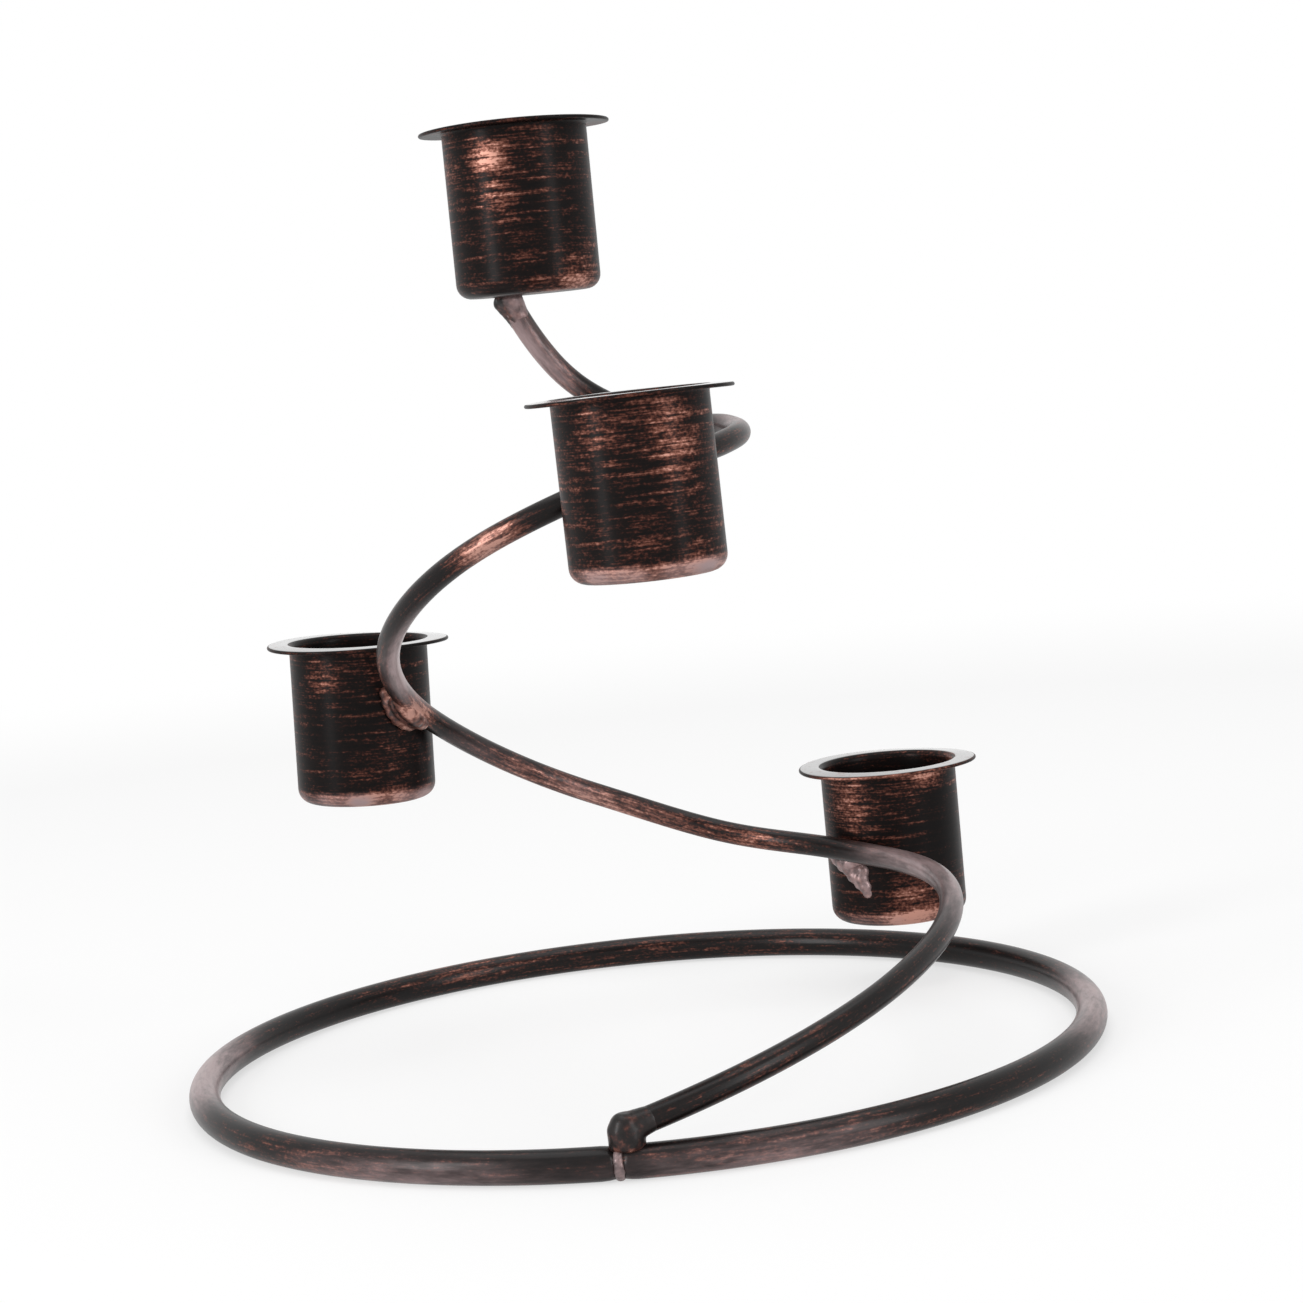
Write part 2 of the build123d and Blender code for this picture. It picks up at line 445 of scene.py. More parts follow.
def tube(line, radii):
    """Points and faces of a tube, and how far along and, in radians, how far round each point lies."""
    points, along, around = [], [], []
    travelled = 0
    for step, place in enumerate(line):
        before, after = line[max(step - 1, 0)], line[min(step + 1, len(line) - 1)]
        ahead = (after - before).normalized()
        side = ahead.cross(UP).normalized()
        over = side.cross(ahead)
        travelled += (place - before).length
        for n in range(wire_sides):
            turn = math.tau * n / wire_sides
            points.append(place + (side * math.cos(turn) + over * math.sin(turn)) * radii[step])
            along.append(travelled)
            around.append(turn)
    faces = [tuple(range(wire_sides))]
    for step in range(len(line) - 1):
        ring = step * wire_sides
        for n in range(wire_sides):
            after = (n + 1) % wire_sides
            faces.append((ring + n, ring + wire_sides + n, ring + wire_sides + after, ring + after))
    faces.append(tuple(reversed(range(len(points) - wire_sides, len(points)))))
    return points, faces, along, around


print(f"tubes have {wire_sides} sides")

# %% [markdown]
# A dab of paint on a wire is strongest in its middle. It fades to nothing at its reach along the wire,
# and round the wire towards the far side. A painted mask could hold it, but here a dab is only four
# numbers.

# %% Paint on a wire


def hill(away, reach):
    """A smooth hill of height 1 that falls to 0 at this reach from its middle."""
    share = min(abs(away) / reach, 1)
    return (1 - share * share) ** 2


def towards(angle):
    """1 where this angle is 0, falling smoothly to 0 on the far side."""
    return (1 + math.cos(angle)) / 2


def wire_brush(along, around, radius):
    """Brush coordinates of a wire, in millimetres: along it, and across its round section."""
    return [
        (length / mm, radius * math.cos(turn) / mm, radius * math.sin(turn) / mm)
        for length, turn in zip(along, around)
    ]


def left_on_wire(dabs, turn, side):
    """Paint left here by dabs, each given by its middle turn, its reach, its strength and its side."""
    amount = 0
    for middle, reach, strength, facing in dabs:
        amount += strength * hill(turn - middle, reach) * towards(side - math.radians(facing))
    return amount


print(f"half its reach from its middle, a dab leaves {hill(0.5, 1):.0%} of its paint")

# %% [markdown]
# The base ring is one bend of wire, butted at the front beside the rod's foot. A torus primitive would be
# too true: a hand-bent ring wanders by a tenth of a millimetre, its two ends are eased for the weld, and
# its underside is dressed level so that it stands.

# %% Line of the base ring
ring_steps = 420
ring_seam = 0.8 * mm
ring_wander = 0.06 * mm
wander_waves = ((2, 1.0, 0.6), (3, 0.7, 2.1))
eased_end_shares = (0.90, 0.97)

low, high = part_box("ring_seam_weld")
seam_angle = math.atan2(low.y + high.y, low.x + high.x)
half_seam = ring_seam / ring_radius / 2
ring_line, ring_radii = [], []
for step in range(ring_steps + 1):
    angle = seam_angle + half_seam + (math.tau - 2 * half_seam) * step / ring_steps
    waves = sum(size * math.cos(count * angle + phase) for count, size, phase in wander_waves)
    out = ring_radius - abs(ring_wander * waves)
    ring_line.append(Vector((out * math.cos(angle), out * math.sin(angle), ring_height)))
    from_end = min(step, ring_steps - step)
    eased = eased_end_shares[from_end] if from_end < len(eased_end_shares) else 1
    ring_radii.append(ring_wire_radius * eased)
print(f"ring line of {len(ring_line)} points")

# %% [markdown]
# Copper on the ring: flecks on its back, which faces the viewer across the middle, and along the foot of
# its front. Pale pink-grey on top of its two sides, and along the foot of its front, is mostly painted
# sheen. A noise alone could scatter them, but the marks of a brush have their places, so they are listed
# as dabs: the turn from the seam in degrees, how far a dab reaches, how strong it is, and the side of the
# wire that it lies on.

# %% Base ring
ring_ground = 0.12
ring_dabs = (
    (172, 50, 0.32, 170),
    (214, 26, 0.38, 120),
    (-38, 32, 0.45, -60),
    (26, 28, 0.36, -60),
    (12, 14, 0.30, -25),
    (95, 30, 0.30, 40),
    (265, 30, 0.30, 40),
)
ring_dust_and_sheen = (
    (85, 28, 1.10, 90),
    (275, 28, 1.35, 90),
    (16, 26, 0.70, -60),
    (-26, 28, 0.70, -60),
)

points, faces, along, around = tube(ring_line, ring_radii)
points = [Vector((p.x, p.y, max(p.z, 0))) for p in points]
copper, dust_and_sheen = [], []
for length, side in zip(along, around):
    turn = math.degrees(length / ring_radius)
    laps = (turn, turn - 360)
    copper.append(ring_ground + max(left_on_wire(ring_dabs, lap, side) for lap in laps))
    dust_and_sheen.append(max(left_on_wire(ring_dust_and_sheen, lap, side) for lap in laps))
ring = make_piece("ring_wire", points, faces, wire_brush(along, around, ring_wire_radius), copper, dust_and_sheen)
dress(ring, "base_ring", wire_finish)

# %% [markdown]
# The spiral rod is swept along its stations. Its foot end is rounded by a few rings that close in, and
# its top end runs on past the top cup's floor, to be cut level afterwards as a fitter would grind it. A
# Boolean with a block could cut it too, but one plane through the mesh is enough.

# %% Line of the spiral rod
rod_steps = 760
rod_end_round = 0.6 * mm
rod_overrun = 3 * mm
foot_tail = rod_wire_radius / 2
end_rings = 5

foot_ahead = rod_ahead(turn_step)
rod_line, rod_radii, line_turns = [], [], []
for n in range(end_rings):
    open_angle = math.radians(90 * n / (end_rings - 1))
    back = foot_tail + rod_end_round * (math.cos(open_angle) - 1)
    rod_line.append(rod_middle(0) - foot_ahead * back)
    rod_radii.append(rod_wire_radius - rod_end_round * (1 - math.sin(open_angle)))
    line_turns.append(0)
for step in range(1, rod_steps + 1):
    line_turns.append(rod_turns[-1] * step / rod_steps)
    rod_line.append(rod_middle(line_turns[-1]))
    rod_radii.append(rod_wire_radius)
rod_line.append(rod_line[-1] + (rod_line[-1] - rod_line[-2]).normalized() * rod_overrun)
rod_radii.append(rod_wire_radius)
line_turns.append(line_turns[-1])
print(f"rod line of {len(rod_line)} points")

# %% [markdown]
# Copper on the rod is mottled along the under half of its back pass, and strongest beside the second cup
# and on the front pass. Its sharpest turns stand nearly end-on to the viewer, and the pale pink-grey on
# top of them, as on the last rise, is mostly painted sheen, where the studio's light would glance off.

# %% Spiral rod
rod_ground = 0.14
rod_dabs = (
    (20, 30, 0.20, -40),
    (118, 40, 0.30, 60),
    (150, 16, 0.70, 225),
    (168, 24, 0.66, 236),
    (194, 28, 0.95, 222),
    (214, 20, 0.40, 255),
    (246, 12, 1.30, 228),
    (270, 22, 0.30, -30),
    (331, 19, 1.25, -40),
    (440, 40, 0.30, 60),
    (558, 32, 0.70, 255),
)
rod_dust_and_sheen = (
    (78, 26, 0.72, 40),
    (104, 32, 0.95, 130),
    (196, 44, 0.45, -140),
    (226, 14, 0.25, 262),
    (269, 36, 1.45, 150),
    (284, 34, 1.30, 175),
    (331, 14, 0.45, -60),
    (455, 34, 0.80, 90),
    (562, 27, 1.05, 245),
)

points, faces, along, around = tube(rod_line, rod_radii)
sides = around[:wire_sides]
copper = [rod_ground + left_on_wire(rod_dabs, turn, side) for turn in line_turns for side in sides]
dust_and_sheen = [left_on_wire(rod_dust_and_sheen, turn, side) for turn in line_turns for side in sides]
rod = make_piece("spiral_wire", points, faces, wire_brush(along, around, rod_wire_radius), copper, dust_and_sheen)

# %% Cut the rod's top end level
cut_snap = 0.01 * mm

bm = bmesh.new()
bm.from_mesh(rod.data)
everything = bm.verts[:] + bm.edges[:] + bm.faces[:]
cut = bmesh.ops.bisect_plane(
    bm, geom=everything, dist=cut_snap, plane_co=(0, 0, top_floor), plane_no=UP, clear_outer=True
)
rim = [edge for edge in cut["geom_cut"] if isinstance(edge, bmesh.types.BMEdge)]
bmesh.ops.contextual_create(bm, geom=rim)
bm.to_mesh(rod.data)
bm.free()
dress(rod, "spiral_rod", wire_finish)
print(f"rod cut on {len(rim)} edges")

# %% [markdown]
# A cup is deep drawn from sheet: a flat floor with a soft corner, a straight wall, and a thin flange
# turned out at the mouth. A Screw modifier could turn its section, but the paint needs each point's
# place, so the section's points are turned one by one. First comes the section, from the middle of the
# underside round the flange's edge to the middle of the floor inside.

# %% Section of a cup
floor_round = 2.4 * mm
mouth_round = 0.5 * mm
corner_steps, neck_steps, edge_steps = 8, 5, 6
floor_rows, wall_rows, flange_rows = 6, 34, 5
inner_wall_rows, inner_floor_rows = 14, 5


def arc(middle_out, middle_up, radius, start, end, steps):
    """Points of an arc in the section, between two angles in degrees."""
    turns = [math.radians(start + (end - start) * n / steps) for n in range(steps + 1)]
    return [(middle_out + radius * math.cos(t), middle_up + radius * math.sin(t)) for t in turns]


def run(start, end, steps):
    """Points between two points of the section, without its ends."""
    return [tuple(a + (b - a) * n / steps for a, b in zip(start, end)) for n in range(1, steps)]


half_sheet = sheet / 2
under_flange = cup_height - sheet
inner_round = floor_round - sheet
mouth_outer = mouth_round + sheet
corner = arc(cup_radius - floor_round, floor_round, floor_round, -90, 0, corner_steps)
neck = arc(cup_radius + mouth_round, under_flange - mouth_round, mouth_round, 180, 90, neck_steps)
lip = arc(flange_radius - half_sheet, cup_height - half_sheet, half_sheet, -90, 90, edge_steps)
mouth = arc(bore_radius + mouth_outer, cup_height - mouth_outer, mouth_outer, 90, 180, edge_steps)
inside = arc(bore_radius - inner_round, sheet + inner_round, inner_round, 0, -90, edge_steps)
outer_skin = run((0, 0), corner[0], floor_rows) + corner + run(corner[-1], neck[0], wall_rows) + neck
flange_skin = run(neck[-1], lip[0], flange_rows) + lip + run(lip[-1], mouth[0], flange_rows) + mouth
inner_wall = run(mouth[-1], inside[0], inner_wall_rows)
inner_skin = inner_wall + inside + run(inside[-1], (0, sheet), inner_floor_rows)
section = outer_skin + flange_skin + inner_skin
print(f"cup section of {len(section)} points")

# %% [markdown]
# Turned round its axis, the section would be perfect. A drawn cup is a little oval, and its flange dips
# in two places where the tool let go of it. A noise could bend it too, but these are slow, even waves, so
# two cosines give them.

# %% Skin of a cup
cup_sides = 120
flange_dip = 0.30 * mm
out_of_round = 0.05 * mm


def cup_point(out, up, turn, phase):
    """A point of a cup, measured from the middle of its underside."""
    past_wall = max(out - cup_radius, 0) / (flange_radius - cup_radius)
    dip = flange_dip * past_wall * (1 - math.cos(2 * turn + phase)) / 2
    oval = out_of_round * min(out / cup_radius, 1) * (1 + math.cos(2 * turn - phase)) / 2
    return Vector(((out - oval) * math.cos(turn), (out - oval) * math.sin(turn), up - dip))


def turned_faces(rows, sides):
    """Faces of rows of points round an axis. The first and last rows close on one last point each."""
    faces = []
    for row in range(rows - 1):
        for n in range(sides):
            a, b = row * sides + n, row * sides + (n + 1) % sides
            faces.append((a, b, b + sides, a + sides))
    last_row = (rows - 1) * sides
    for n in range(sides):
        after = (n + 1) % sides
        faces.append((rows * sides, after, n))
        faces.append((rows * sides + 1, last_row + n, last_row + after))
    return faces


cup_faces = turned_faces(len(section), cup_sides)
print(f"cup skin of {len(cup_faces)} faces")

# %% [markdown]
# The brush ran round each cup, so its copper lies in level streaks, thickest where a stroke began. The
# bottom corner is paler and pinker, most on the side that faces the viewer: some copper, and a painted
# reflection of the white floor. The brush hardly touched the top of the flange, which keeps a smooth
# gloss of its own. Each cup has a short list of dabs: the turn in degrees from the side that faces the
# viewer, the height as a share of the cup's, how far the dab reaches each way, and how much copper it
# left, or took away where it is below zero. The side away from the viewer gets dabs of its own, from a
# seeded draw.

# %% Copper on the cups
cup_grounds = (0.32, 0.22, 0.38, 0.28)
inside_copper = 0.08
flange_top_share = 0.3
# The bottom corner's hem: some copper, and a painted reflection of the white floor.
hem_middle, hem_height = 0.3 * mm, 3.0 * mm
hem_corner = 6
hem_faces, hem_behind = 15, 0.5
hem_copper_and_reflection, hem_dust_and_reflection = 0.65, 0.60
hem_strengths = (1.45, 2.5, 3.0, 0.5)
hem_even, hem_waves = 0.72, ((2, 0.15), (5, 0.22), (11, 0.14))
behind_seed, behind_count = 11, 5
behind_spans = ((90, 270), (0.1, 0.95), (18, 40), (0.1, 0.3), (0.3, 0.7))
cup_dabs = (
    (
        (-42, 0.84, 34, 0.22, 0.60),
        (-30, 0.66, 22, 0.14, 0.45),
        (18, 0.20, 36, 0.18, 0.50),
        (14, 0.04, 46, 0.13, 1.00),
        (38, 0.96, 32, 0.13, 0.80),
        (-20, 1.00, 60, 0.05, 0.60),
        (48, 0.60, 44, 0.44, -0.45),
    ),
    (
        (-34, 0.80, 26, 0.20, 0.45),
        (22, 0.30, 30, 0.30, 0.25),
        (16, 0.06, 30, 0.12, 0.55),
        (-22, 0.04, 30, 0.08, 0.25),
    ),
    (
        (-28, 0.80, 26, 0.30, 0.25),
        (31, 0.70, 30, 0.40, 0.42),
        (0, 0.06, 40, 0.12, 0.20),
        (40, 0.12, 22, 0.14, 0.30),
    ),
    (
        (-23, 0.81, 26, 0.14, 0.95),
        (-20, 0.56, 30, 0.32, 0.58),
        (48, 0.14, 38, 0.20, 0.45),
        (-68, 0.80, 24, 0.25, 0.40),
        (34, 0.03, 46, 0.07, 0.45),
    ),
)


def copper_on_cup(seen, up, ground, dabs):
    """Copper on a cup's outside, this many degrees from the side that faces the viewer."""
    amount = ground
    for middle, level, reach_round, reach_up, strength in dabs:
        away = (seen - middle + 180) % 360 - 180
        amount += strength * hill(away, reach_round) * hill(up / cup_height - level, reach_up)
    return amount


def hem_paint_and_reflection(seen, out, up, phase):
    """Copper and a painted reflection of the floor on the bottom corner, uneven, most on the side facing
    the viewer.
    """
    facing = towards(math.radians(seen - hem_faces))
    waves = sum(size * math.cos(count * math.radians(seen) + phase) for count, size in hem_waves)
    on_corner = hill(up - hem_middle, hem_height) * min(out / cup_radius, 1) ** hem_corner
    return on_corner * (hem_behind + (1 - hem_behind) * facing) * (hem_even + waves)


def dabs_behind():
    """A few dabs on the side away from the viewer, drawn from their spans."""
    return [tuple(random.uniform(*span) for span in behind_spans) for _ in range(behind_count)]


print("dabs on the cups:", [len(dabs) for dabs in cup_dabs])

# %% Candle cups
random.seed(behind_seed)
inside_row = len(outer_skin) + len(flange_skin)
mouth_row = inside_row - len(mouth)
flange_top = range(mouth_row - flange_rows, mouth_row + 1)
cups = zip(cup_stands, cup_grounds, cup_dabs, hem_strengths)
for number, (stand, ground, dabs, hem_strength) in enumerate(cups, start=1):
    to_viewer = viewer - stand.translation
    faces_viewer = math.atan2(to_viewer.y, to_viewer.x)
    all_dabs = list(dabs) + dabs_behind()
    phase = random.uniform(0, math.tau)
    local, copper, dust_and_sheen = [], [], []
    for row, (out, up) in enumerate(section):
        indoors = row >= inside_row
        share = flange_top_share if row in flange_top else 1
        for n in range(cup_sides):
            turn = math.tau * n / cup_sides
            seen = math.degrees(turn - faces_viewer)
            # The hem adds copper and pale pink-grey: some paint, and a painted reflection of the floor.
            hem = hem_paint_and_reflection(seen, out, up, phase) * hem_strength
            painted = copper_on_cup(seen, up, ground, all_dabs) * share + hem * hem_copper_and_reflection
            local.append(cup_point(out, up, turn, phase))
            copper.append(inside_copper if indoors else painted)
            dust_and_sheen.append(0.0 if indoors else hem * hem_dust_and_reflection)
    local += [Vector((0, 0, 0)), Vector((0, 0, sheet))]
    copper += [ground, inside_copper]
    dust_and_sheen += [0.0, 0.0]
    brush = [tuple(p / mm) for p in local]
    cup = make_piece(f"cup_{number}_shell", [stand @ p for p in local], cup_faces, brush, copper, dust_and_sheen)
    dress(cup, f"candle_cup_{number}", cup_finish)
    cup.data.materials.append(flange_finish)
    for face in cup.data.polygons:
        face.material_index = int(face.vertices[0] // cup_sides in flange_top)

# %% [markdown]
# Welds are frozen drops. Each is a heap of overlapping balls, melted into one skin by a voxel remesh and
# smoothed. Metaballs would melt too, but their size is hard to foresee.

# %% Melt drops into a bead
weld_voxel = 0.16 * mm
ball_detail = 3


def melt(name, drops, rounds):
    """One lumpy skin round a list of drops, each a middle and a radius, smoothed for this many rounds."""
    bm = bmesh.new()
    for middle, radius in drops:
        place = Matrix.Translation(middle)
        bmesh.ops.create_icosphere(bm, subdivisions=ball_detail, radius=radius, matrix=place)
    mesh = bpy.data.meshes.new(name)
    bm.to_mesh(mesh)
    bm.free()
    rough = bpy.data.objects.new(name + "_drops", mesh)
    scene.collection.objects.link(rough)
    skin = rough.modifiers.new("skin", "REMESH")
    skin.mode = "VOXEL"
    skin.voxel_size = weld_voxel
    soften = rough.modifiers.new("soften", "SMOOTH")
    soften.iterations = rounds
    solid = bpy.data.meshes.new_from_object(rough.evaluated_get(bpy.context.evaluated_depsgraph_get()))
    bpy.data.objects.remove(rough)
    solid.name = name
    solid.shade_smooth()
    piece = bpy.data.objects.new(name, solid)
    scene.collection.objects.link(piece)
    print(f"{name}: {len(solid.vertices)} points from {len(drops)} drops")
    return piece


def paint_weld(piece, copper, dust_and_sheen, bare_side=Vector()):
    """Paint values of a weld: its own places, and amounts of paint and painted sheen that fade on faces to
    the bare side.
    """
    points = piece.data.vertices
    kept = [1 - min(max(v.normal.dot(bare_side), 0), 1) for v in points]
    places = [tuple(v.co / mm) for v in points]
    set_paint(piece.data, places, [copper * share for share in kept], [dust_and_sheen * share for share in kept])


# %% [markdown]
# The three lower cups are tacked to the rod from below, and some of the metal ran down the wall. A drop
# is given in millimetres: how far on along the rod, how far below its middle line, its radius, and how
# far its middle stands off the cup's wall. The first tack keeps its ripples, because it is smoothed for
# fewer rounds. The weld keeps out of the bore, so points that reach too deep are drawn back into the
# wall.

# %% Drops of the tacks
LEFT = Vector((-1, 0, 0))
wall_bite = 0.35 * mm
tack_stations = (3, 6, 9)
tack_copper = (0.80, 1.15, 0.50)
# The tacks' pale pink-grey is partly copper powder and partly painted sheen.
tack_dust_and_sheen = (0.85, 0.30, 0.30)
# The second tack's paint fades on its left-facing faces, which also paints the shade of its pocket.
tack_bareness_and_shade = (0, 0.8, 0)
tack_rounds = (14, 36, 36)
top_seam = (
    (1.9, -0.6, 0.60, 0.7),
    (0.6, -0.8, 0.65, 0.6),
    (-0.7, -0.8, 0.65, 0.6),
    (-1.9, -0.6, 0.60, 0.7),
)
tack_drops = (
    (
        (3.2, 1.8, 1.1, 0.9),
        (2.0, 2.2, 1.4, 0.9),
        (0.7, 2.4, 1.5, 0.9),
        (-0.6, 2.4, 1.4, 0.9),
        (-1.8, 2.2, 1.2, 0.9),
        (-2.9, 1.8, 1.0, 0.9),
        (1.6, 3.4, 1.3, 0.2),
        (-0.1, 3.7, 1.5, 0.2),
        (-1.7, 3.5, 1.3, -0.1),
        (-3.0, 3.9, 1.2, -0.1),
        (-0.9, 4.9, 1.4, 0.0),
        (-2.6, 5.2, 1.35, 0.0),
        (-1.9, 6.3, 1.15, -0.4),
        (-3.2, 6.6, 1.25, -0.2),
        (-3.6, 7.8, 1.0, -0.5),
    ),
    (
        (2.0, 0.8, 1.2, 1.0),
        (3.2, 1.6, 1.5, 2.3),
        (4.5, 1.8, 1.6, 2.8),
        (5.8, 1.8, 1.7, 3.4),
        (7.1, 1.6, 1.7, 4.0),
        (8.4, 1.3, 1.6, 4.5),
        (9.7, 0.9, 1.4, 5.0),
        (10.8, 0.5, 1.2, 5.6),
        (4.5, 1.9, 1.5, 1.4),
        (5.8, 2.0, 1.6, 1.9),
        (7.1, 1.9, 1.6, 2.3),
        (8.4, 1.5, 1.6, 2.7),
        (9.7, 1.0, 1.5, 3.1),
        (6.0, 1.0, 1.5, 1.0),
        (7.6, 0.9, 1.5, 1.1),
        (9.2, 0.6, 1.5, 1.4),
        (4.6, 2.6, 1.3, 0.6),
        (6.2, 2.8, 1.5, 0.8),
        (7.8, 2.8, 1.5, 0.8),
        (9.3, 2.3, 1.5, 0.8),
        (10.6, 1.3, 1.4, 0.8),
        (11.5, 0.1, 1.2, 0.9),
    ),
    (
        (3.0, 1.6, 1.2, 1.0),
        (1.8, 2.2, 1.4, 0.9),
        (0.6, 2.4, 1.6, 0.9),
        (-0.7, 2.5, 1.6, 0.9),
        (-1.9, 2.2, 1.4, 0.9),
        (-3.0, 1.7, 1.2, 1.0),
        (0.4, 3.8, 1.1, 0.4),
    ),
)
print("drops of the tacks:", [len(drops) + len(top_seam) for drops in tack_drops])

# %% Tacks of the three lower cups
tack_paint = zip(tack_copper, tack_dust_and_sheen, tack_bareness_and_shade)
tacks = zip(cup_stands, tack_stations, tack_drops, tack_rounds, tack_paint)
for number, (stand, station, drops, rounds, (copper, dust_and_sheen, bareness_and_shade)) in enumerate(tacks, start=1):
    turn = rod_turns[station]
    in_cup = stand.inverted()
    placed = []
    for along, below, radius, off_wall in drops + top_seam:
        place = in_cup @ (rod_middle(turn) + (rod_ahead(turn) * along - UP * below) * mm)
        out = Vector((place.x, place.y, 0)).normalized()
        placed.append((stand @ (out * (cup_radius + off_wall * mm) + UP * place.z), radius * mm))
    tack = melt(f"cup_{number}_tack", placed, rounds)
    for v in tack.data.vertices:
        place = in_cup @ v.co
        out = Vector((place.x, place.y, 0))
        v.co = stand @ (place + out.normalized() * max(cup_radius - wall_bite - out.length, 0))
    paint_weld(tack, copper, dust_and_sheen, LEFT * bareness_and_shade)
    dress(tack, f"cup_weld_{number}", weld_finish)

# %% [markdown]
# The top cup sits on the rod's end. Its weld is a collar round the rod and a fillet that tapers down the
# rod's left side, where the copper brush missed it. The collar is built in layers of drops: how far down
# the rod, the drops' radius and how far they spread. A drop of the fillet is given by how far down and
# how far left it lies, and its radius, all in millimetres.

# %% Collar under the top cup
collar_layers = (
    (0.6, 1.20, 1.22),
    (1.6, 1.12, 1.14),
    (2.6, 1.06, 1.08),
    (3.6, 1.03, 1.05),
    (4.5, 1.00, 1.02),
)
collar_seed, collar_drops = 5, 10
collar_sizes = (0.94, 1.06)
collar_rounds = 30
# The collar's pale pink-grey is partly copper powder and partly painted sheen.
collar_copper, collar_dust_and_sheen, collar_bareness = 0.6, 0.8, 1.4
collar_fillet = (
    (0.6, 1.45, 1.35),
    (1.7, 1.25, 1.30),
    (2.8, 1.00, 1.25),
    (3.8, 0.85, 1.20),
    (4.8, 0.75, 1.15),
)

random.seed(collar_seed)
rod_end, end_ahead = rod_middle(rod_turns[-1]), rod_ahead(rod_turns[-1])
end_left = (LEFT - end_ahead * LEFT.dot(end_ahead)).normalized()
drops = []
for down, left, radius in collar_fillet:
    drops.append((rod_end + (end_left * left - end_ahead * down) * mm, radius * mm))
for down, radius, spread in collar_layers:
    for n in range(collar_drops):
        turn = math.tau * n / collar_drops
        place = Vector((math.cos(turn), math.sin(turn), 0)) * spread - end_ahead * down
        drops.append((rod_end + place * mm, radius * random.uniform(*collar_sizes) * mm))
collar = melt("top_cup_collar", drops, collar_rounds)
for v in collar.data.vertices:
    v.co.z = min(v.co.z, top_floor + wall_bite)
paint_weld(collar, collar_copper, collar_dust_and_sheen, LEFT * collar_bareness)
dress(collar, "cup_weld_4", weld_finish)

# %% [markdown]
# The rod's foot stands on the ring in a smooth knob of weld, which stays black on top. It is built in
# layers of drops too, each with its height, its drops' radius and how far they spread along the ring and
# across it, in millimetres. Each layer is turned on by its height, so that no drops line up, and a sleeve
# of drops leads the knob into the rod.

# %% Knob at the rod's foot
knob_layers = (
    (5.0, 1.30, 1.50, 0.90),
    (6.0, 1.70, 1.05, 0.90),
    (6.9, 1.85, 0.85, 0.75),
    (7.7, 1.80, 0.50, 0.45),
)
knob_sleeve = ((1.6, 2.20), (2.6, 2.10), (3.5, 1.98))
knob_seed, knob_drops = 7, 9
knob_sizes = (0.96, 1.04)
knob_rounds = 40
# The knob's faint pale pink-grey is partly copper powder and partly painted sheen.
knob_copper, knob_dust_and_sheen = 0.46, 0.12

random.seed(knob_seed)
foot = rod_middle(0)
drops = [(foot + foot_ahead * along * mm, radius * mm) for along, radius in knob_sleeve]
for height, radius, spread, across in knob_layers:
    for n in range(knob_drops):
        turn = math.tau * n / knob_drops + height
        place = Vector((math.cos(turn) * spread, math.sin(turn) * across, height)) * mm
        drops.append((place + Vector((foot.x, foot.y, 0)), radius * random.uniform(*knob_sizes) * mm))
knob = melt("foot_knob", drops, knob_rounds)
paint_weld(knob, knob_copper, knob_dust_and_sheen, UP)
dress(knob, "foot_weld", weld_finish)

# %% [markdown]
# The butt of the ring is closed by a thin bead that goes all the way round the wire. A small torus could
# stand for it, but a welder lays it drop by drop, and so does this loop.

# %% Bead round the ring's seam
bead_drops = 16
bead_drop_radii = (0.78, 0.95)
bead_radius = 1.75 * mm
bead_wander = 0.12 * mm
bead_rounds = 6
# The bead's pale pink is partly copper and partly painted sheen.
bead_copper, bead_dust_and_sheen = 0.45, 0.75

outward = Vector((math.cos(seam_angle), math.sin(seam_angle), 0))
drops = []
for n in range(bead_drops):
    turn = math.tau * n / bead_drops
    middle = outward * (ring_radius + bead_radius * math.cos(turn))
    middle += UP * (ring_height + bead_radius * math.sin(turn))
    middle += UP.cross(outward) * random.uniform(-bead_wander, bead_wander)
    drops.append((middle, random.uniform(*bead_drop_radii) * mm))
seam = melt("ring_seam_bead", drops, bead_rounds)
for v in seam.data.vertices:
    v.co.z = max(v.co.z, 0)
paint_weld(seam, bead_copper, bead_dust_and_sheen)
dress(seam, "ring_seam_weld", weld_finish)

# %% [markdown]
# The studio: a white floor that runs into a white room, two tall soft lights in front and a wide one
# above. The floor keeps its shadow near the holder and fades to the room's white further out, so no
# horizon shows. More light could whiten both, but it would wash out the copper, so they are that white
# only to the rays that show them to the camera.

# %% Floor
floor_half, floor_cells = 6.0, 4
floor_drop = 0.1 * mm
floor_white = (0.94, 0.94, 0.94, 1)
room_white = (1, 1, 1, 1)
floor_glow = 0.60
shadow_reach = 0.12
white_from = 0.70

bm = bmesh.new()
bmesh.ops.create_grid(bm, x_segments=floor_cells, y_segments=floor_cells, size=floor_half)
floor_mesh = bpy.data.meshes.new("floor")
bm.to_mesh(floor_mesh)
bm.free()
floor = bpy.data.objects.new("floor", floor_mesh)
floor.location.z = -floor_drop
scene.collection.objects.link(floor)
print(f"floor {2 * floor_half:.0f} m square")

# %% Floor's white
seen_by = ("Camera", "Glossy", "Transmission")


def seen_rays(paint):
    """1 for rays that show the studio to the camera, straight or by way of gloss and glass."""
    camera, gloss, glass = (paint.node("ShaderNodeLightPath", output=f"Is {ray} Ray") for ray in seen_by)
    return camera.larger(gloss).larger(glass)


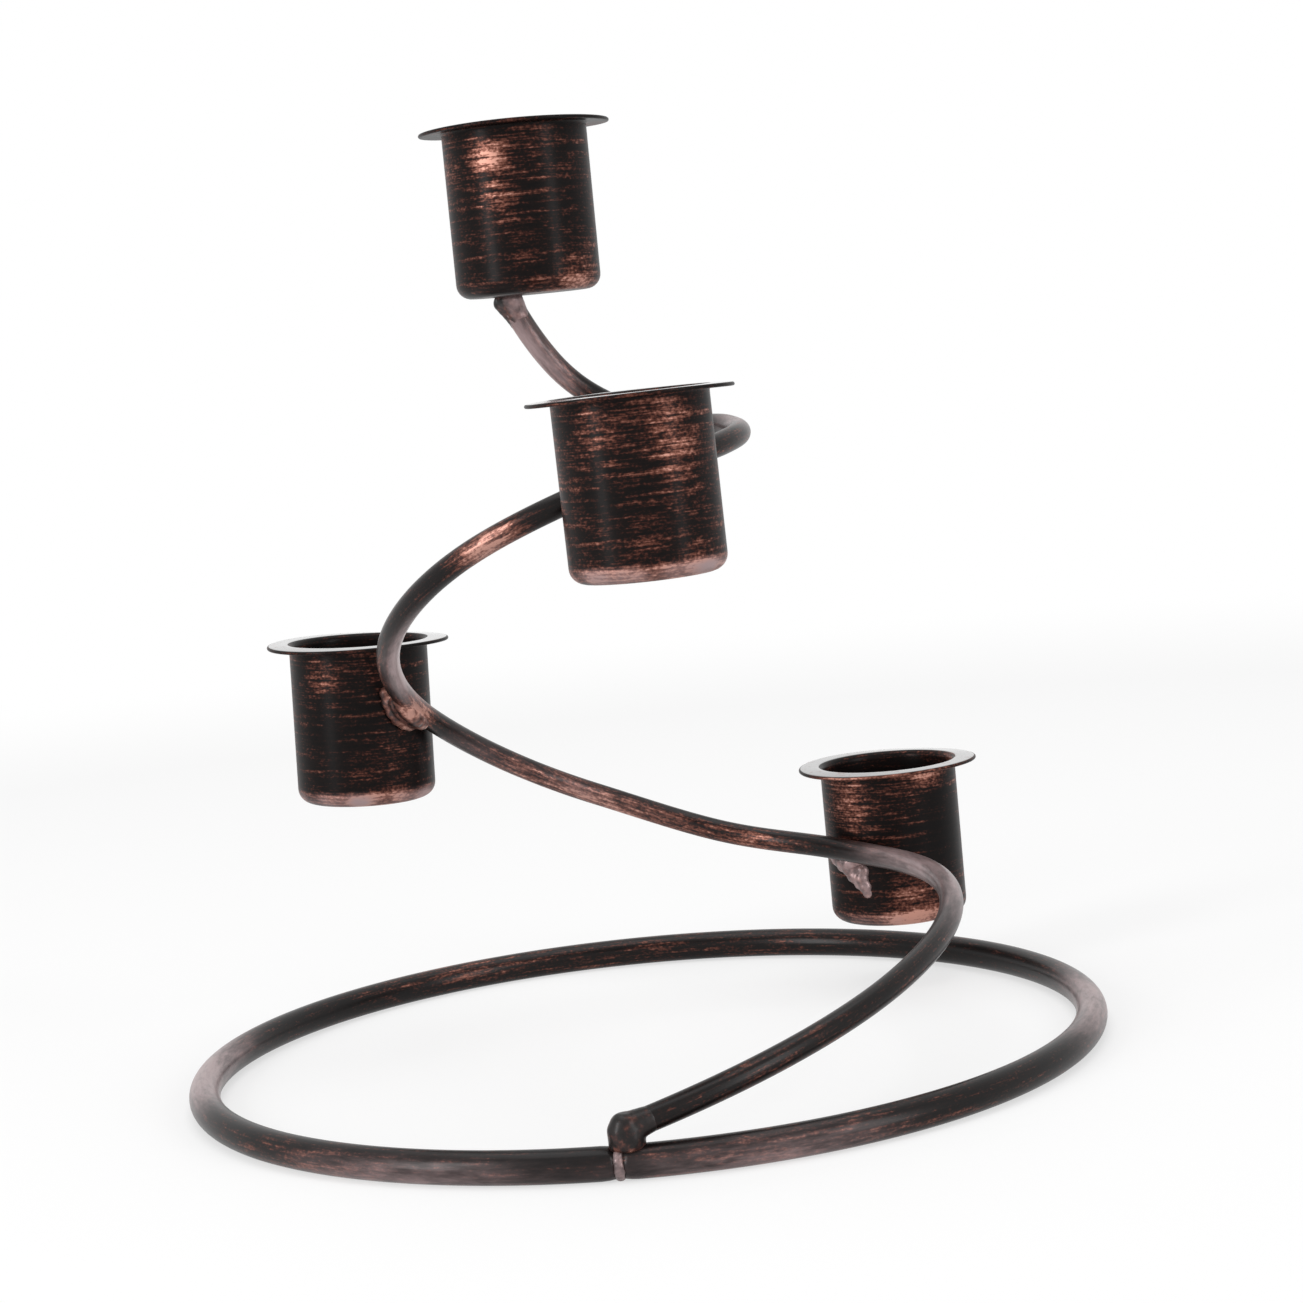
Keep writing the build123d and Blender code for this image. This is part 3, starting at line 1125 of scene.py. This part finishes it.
white_floor = bpy.data.materials.new("white_floor")
white_floor.use_nodes = True
white_floor.node_tree.nodes.clear()
paint = Paint(white_floor.node_tree)
place = paint.node("ShaderNodeTexCoord", output="Object")
away = paint.node("ShaderNodeVectorMath", {"operation": "LENGTH"}, {0: place}, output="Value")
glow_share = seen_rays(paint) * away.step(shadow_reach, white_from).larger(floor_glow)
matt = paint.node("ShaderNodeBsdfDiffuse", {}, {"Color": floor_white})
glow = paint.node("ShaderNodeEmission", {}, {"Color": room_white, "Strength": 1.0})
surface = paint.node("ShaderNodeMixShader", {}, {0: glow_share, 1: matt, 2: glow})
paint.node("ShaderNodeOutputMaterial", {}, {"Surface": surface})
floor_mesh.materials.append(white_floor)
print(f"floor white fades in from {shadow_reach} m to {white_from} m")

# %% Room
room_light = 0.55

room = bpy.data.worlds.new("white_room")
room.use_nodes = True
room.node_tree.nodes.clear()
scene.world = room
paint = Paint(room.node_tree)
strength = room_light + (1 - room_light) * seen_rays(paint)
backdrop = paint.node("ShaderNodeBackground", {}, {"Color": room_white, "Strength": strength})
paint.node("ShaderNodeOutputWorld", {}, {"Surface": backdrop})
print(f"room lights the holder at {room_light}")

# %% Lights


def soft_light(name, place, aim, size, power):
    """A rectangular lamp that looks at a point."""
    lamp = bpy.data.lights.new(name, "AREA")
    lamp.shape = "RECTANGLE"
    lamp.size, lamp.size_y = size
    lamp.energy = power
    light = bpy.data.objects.new(name, lamp)
    light.location = place
    light.rotation_euler = (Vector(aim) - Vector(place)).to_track_quat("-Z", "Y").to_euler()
    scene.collection.objects.link(light)
    print(f"{name}: {power} W")


tall_lamp, wide_lamp = (0.25, 0.8), (0.9, 0.9)
holder_middle, floor_middle = (0, 0, 0.08), (0, 0, 0)
soft_light("left_light", place=(-0.75, -0.60, 0.35), aim=holder_middle, size=tall_lamp, power=5.0)
soft_light("right_light", place=(0.80, -0.55, 0.35), aim=holder_middle, size=tall_lamp, power=3.0)
soft_light("top_light", place=(0.0, 0.1, 1.1), aim=floor_middle, size=wide_lamp, power=4.0)
